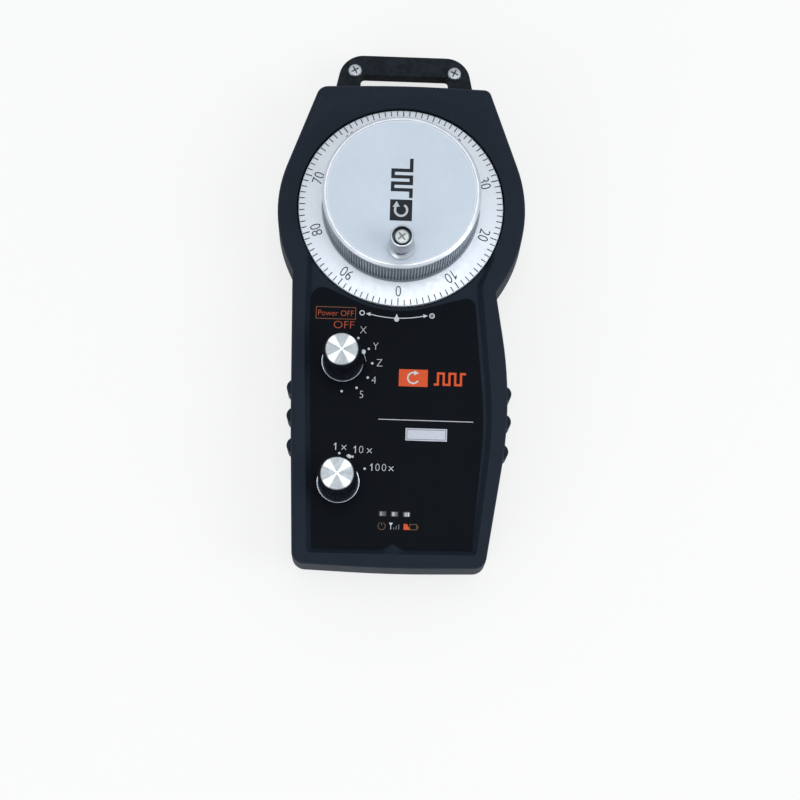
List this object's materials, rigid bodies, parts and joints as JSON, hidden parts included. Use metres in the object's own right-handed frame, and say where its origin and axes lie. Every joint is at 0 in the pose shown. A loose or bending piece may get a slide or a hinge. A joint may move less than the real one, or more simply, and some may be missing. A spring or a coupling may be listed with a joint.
{
  "type": "pulse generator handwheel",
  "caption": "Handheld machine pendant with a graduated handwheel and crank knob, two rotary selectors, status lights, a hanging bail and a sliding battery door.",
  "frame": {"origin": "where the handwheel's axis meets the flat back", "axes": "+Z out of the front along the handwheel's axis, +Y towards the hanging bail, +X to the right seen from the front"},
  "size_m": [0.0974, 0.2099, 0.063],
  "materials": {
    "black_plastic": "fine satin moulded texture",
    "grey_plastic": "fine satin moulded texture",
    "seal_rubber": "soft",
    "screw_steel": "nickel plated",
    "dark_steel": "blackened",
    "overlay_film": "satin printed film",
    "cell_wrap": "plain printed sleeve",
    "contact_metal": "plated",
    "circuit_board": "solder mask",
    "shield_metal": "bright sheet",
    "light_window": "frosted clear moulding",
    "switch_plastic": "moulded",
    "shaft_steel": "turned",
    "knob_plastic": "satin moulded",
    "knob_metal": "spun, bright",
    "encoder_metal": "die cast",
    "dial_metal": "satin anodised with printed graduations",
    "drum_metal": "satin anodised",
    "face_metal": "matt anodised",
    "crank_metal": "turned, satin"
  },
  "bodies": {
    "housing": {"front_shell": "black_plastic", "rear_shell": "grey_plastic", "case_gasket": "seal_rubber", "case_screws": "screw_steel", "panel_overlay": "overlay_film", "hanger_bracket": "black_plastic", "hanger_screws": "screw_steel", "battery_1": "cell_wrap", "battery_2": "cell_wrap", "battery_contacts": "contact_metal", "main_board": "circuit_board", "board_screws": "screw_steel", "radio_module": "shield_metal", "antenna": "contact_metal", "led_power": "light_window", "led_signal": "light_window", "led_battery": "light_window", "axis_switch": "switch_plastic", "axis_switch_nut": "screw_steel", "step_switch": "switch_plastic", "step_switch_nut": "screw_steel", "encoder_housing": "encoder_metal", "encoder_cover": "encoder_metal", "encoder_bearings": "shaft_steel", "encoder_board": "circuit_board", "encoder_screws": "screw_steel"},
    "door": {"battery_door": "grey_plastic"},
    "axis_knob": {"axis_switch_spindle": "shaft_steel", "axis_knob_body": "knob_plastic", "axis_knob_cap": "knob_metal", "axis_knob_ring": "knob_metal"},
    "step_knob": {"step_switch_spindle": "shaft_steel", "step_knob_body": "knob_plastic", "step_knob_cap": "knob_metal", "step_knob_ring": "knob_metal"},
    "handwheel": {"encoder_shaft": "shaft_steel", "encoder_disc": "shield_metal", "scale_dial": "dial_metal", "handwheel_drum": "drum_metal", "handwheel_cap": "face_metal", "grub_screws": "dark_steel", "crank_screw": "screw_steel"},
    "crank": {"crank_knob": "crank_metal"}
  },
  "joints": [
    {"name": "handwheel_spin", "type": "hinge", "parent": "housing", "child": "handwheel", "pos_m": [0, 0, 0.04], "axis": [0, 0, 1], "continuous": true},
    {"name": "crank_spin", "type": "hinge", "parent": "handwheel", "child": "crank", "pos_m": [0.0005, -0.022, 0.054], "axis": [0, 0, 1], "continuous": true},
    {"name": "axis_select", "type": "hinge", "parent": "housing", "child": "axis_knob", "pos_m": [-0.0204, -0.0628, 0.04], "axis": [0, 0, 1], "range_deg": [-90, 90]},
    {"name": "step_select", "type": "hinge", "parent": "housing", "child": "step_knob", "pos_m": [-0.0204, -0.1094, 0.04], "axis": [0, 0, 1], "range_deg": [-30, 30]},
    {"name": "battery_slide", "type": "slide", "parent": "housing", "child": "door", "axis": [0, -1, 0], "range_m": [0, 0.056]}
  ]
}
